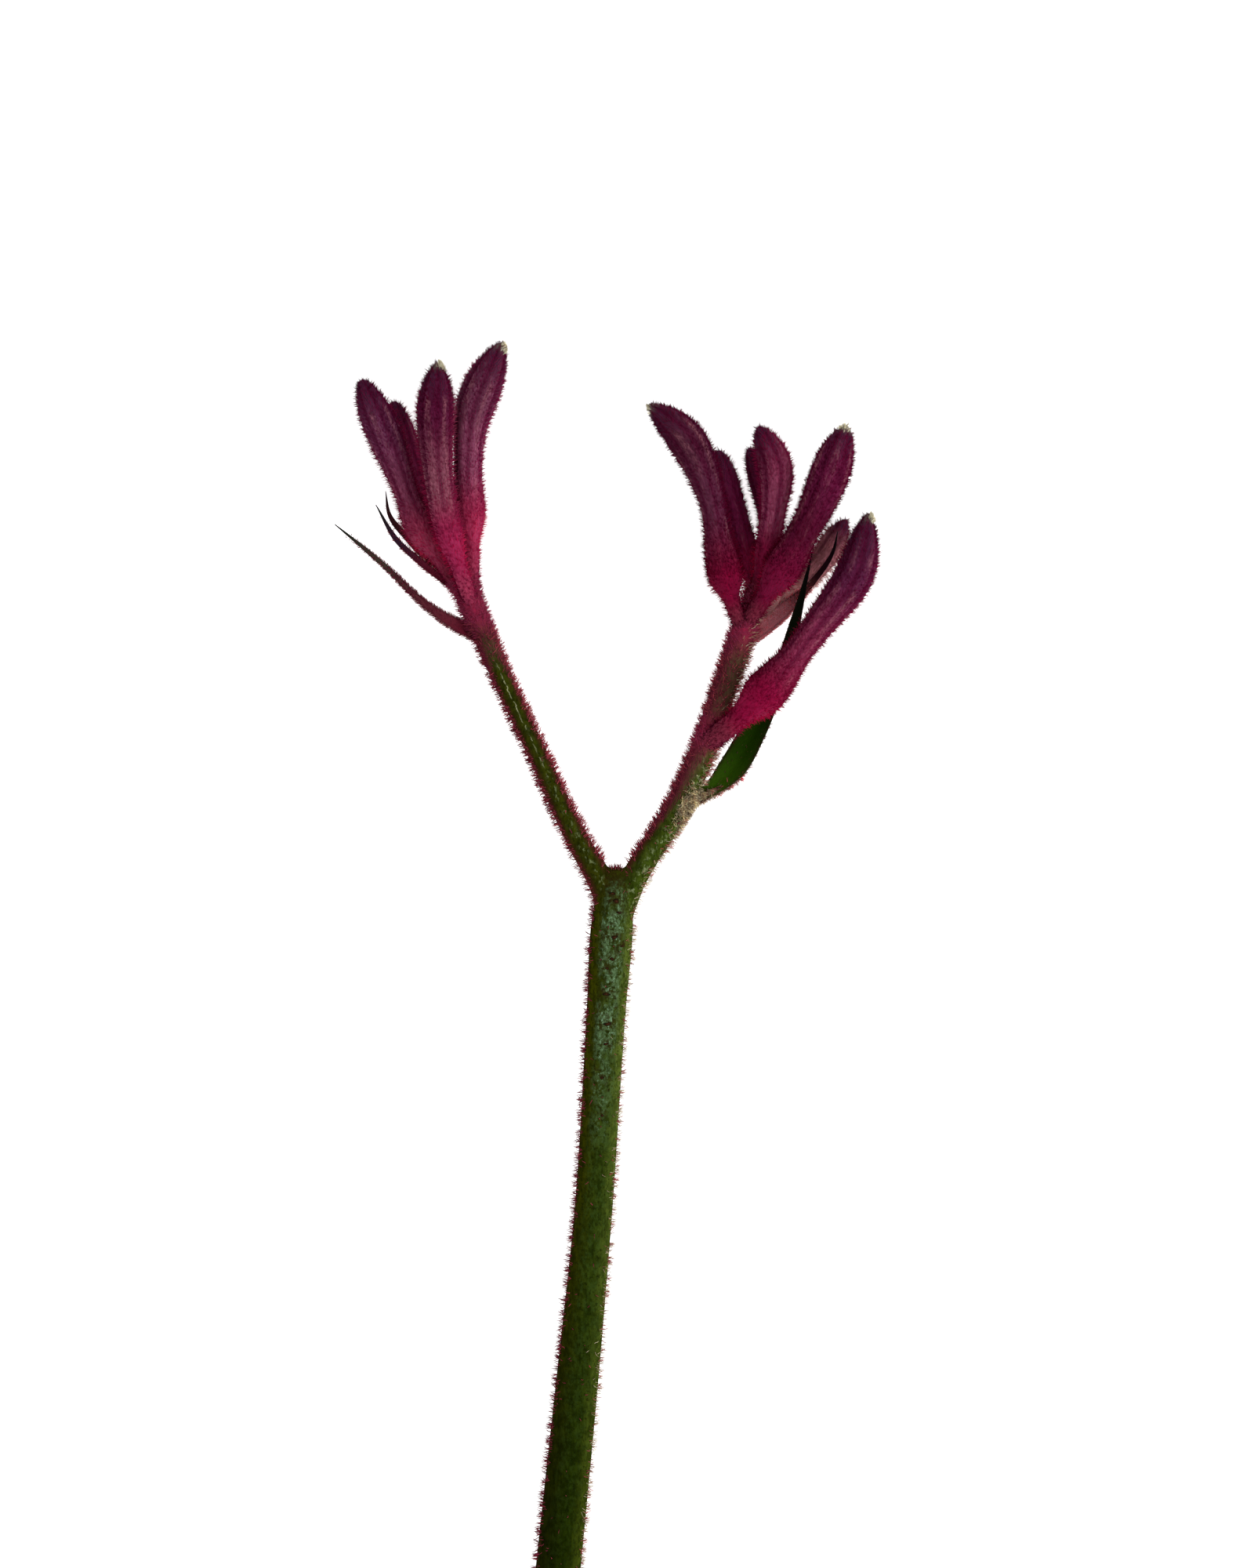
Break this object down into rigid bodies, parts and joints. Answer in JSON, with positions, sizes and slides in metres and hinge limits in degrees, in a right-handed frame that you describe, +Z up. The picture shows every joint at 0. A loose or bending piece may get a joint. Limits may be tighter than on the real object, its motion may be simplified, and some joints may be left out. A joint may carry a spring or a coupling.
{
  "type": "kangaroo paw flower",
  "caption": "Cut kangaroo paw stem lying on a surface, forked near the top, with heads of closed hairy tubular buds and narrow bracts.",
  "frame": {"origin": "on the surface that the cut stem lies on, under the middle of its bounding box", "axes": "+Y along the stem from its cut end to the heads, +Z up from the surface, +X to the right as seen from above"},
  "size_m": [0.0763, 0.2035, 0.0153],
  "materials": {
    "stem": "matt, hairy, green below and crimson at the heads",
    "bud": "woolly, crimson at the ovary and dusky purple at the limb",
    "bract_dark": "matt, dark brown green",
    "bract_green": "satin, green at the base and near black at the tip"
  },
  "bodies": {
    "root": {"stem": "stem", "bud_left_1": "bud", "bud_left_2": "bud", "bud_left_3": "bud", "bud_left_4": "bud", "bud_right_1": "bud", "bud_right_2": "bud", "bud_right_3": "bud", "bud_right_4": "bud", "bud_right_5": "bud", "bud_right_6": "bud", "bud_right_7": "bud", "bract_left_1": "bract_dark", "bract_left_2": "bract_dark", "bract_left_3": "bract_dark", "bract_right_1": "bract_green", "bract_right_2": "bract_dark"}
  },
  "joints": []
}
